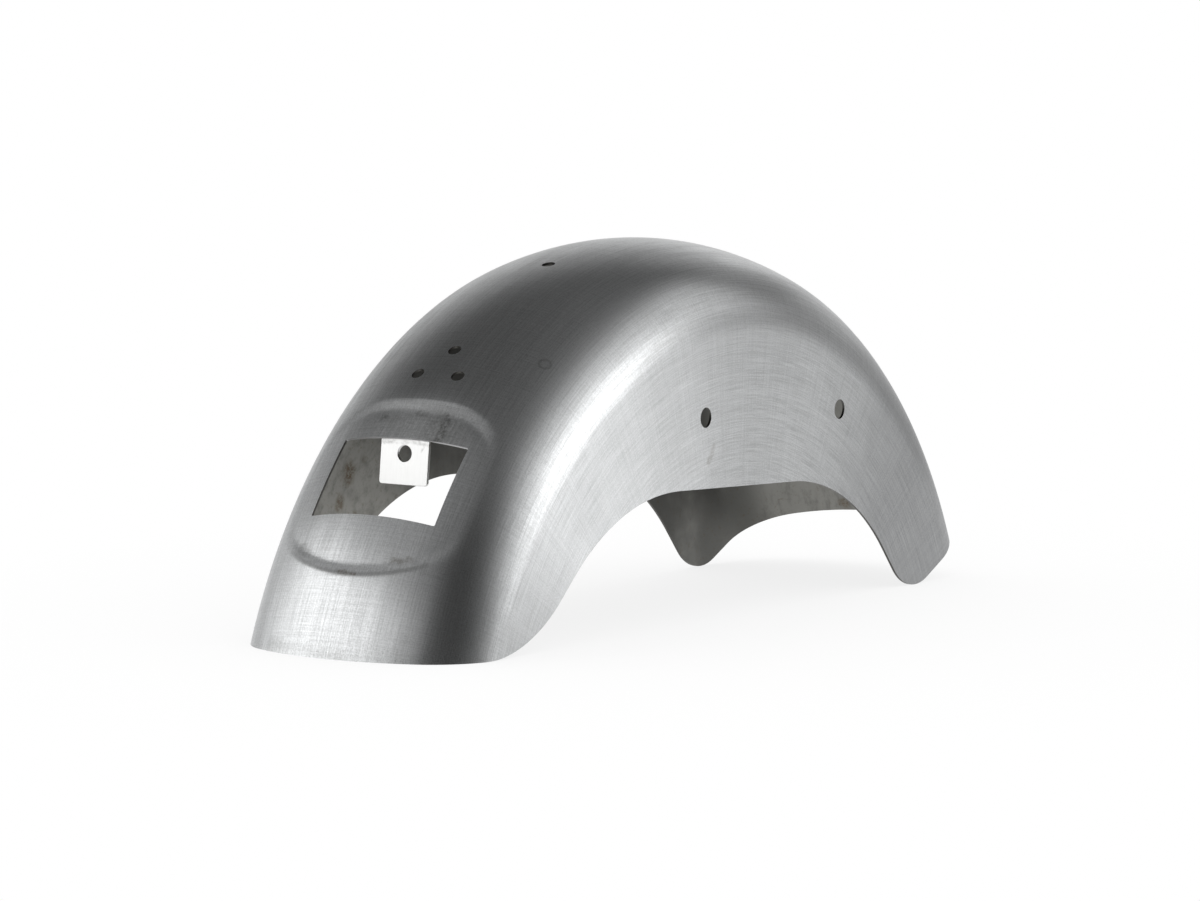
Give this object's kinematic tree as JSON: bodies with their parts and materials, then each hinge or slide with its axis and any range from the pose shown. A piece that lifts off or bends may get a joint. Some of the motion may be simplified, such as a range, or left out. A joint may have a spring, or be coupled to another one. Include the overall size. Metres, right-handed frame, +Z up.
{
  "type": "motorcycle rear fender",
  "caption": "Bare steel rear fender: a crowned shell around the wheel with cut-away sides, rounded front lobes, a pressed lamp seat with a window, and punched mounting holes.",
  "frame": {"origin": "middle of the footprint on the floor that the fender stands on, on its tail edge and front lobes", "axes": "+X towards the front of the vehicle, +Y to its left, +Z up"},
  "size_m": [0.6381, 0.168, 0.2339],
  "materials": {
    "shell_steel": "bare brushed steel with fine scratches and handling marks",
    "tab_steel": "clean bright sheet steel"
  },
  "bodies": {
    "root": {"fender_shell": "shell_steel", "lamp_tab": "tab_steel"}
  },
  "joints": []
}
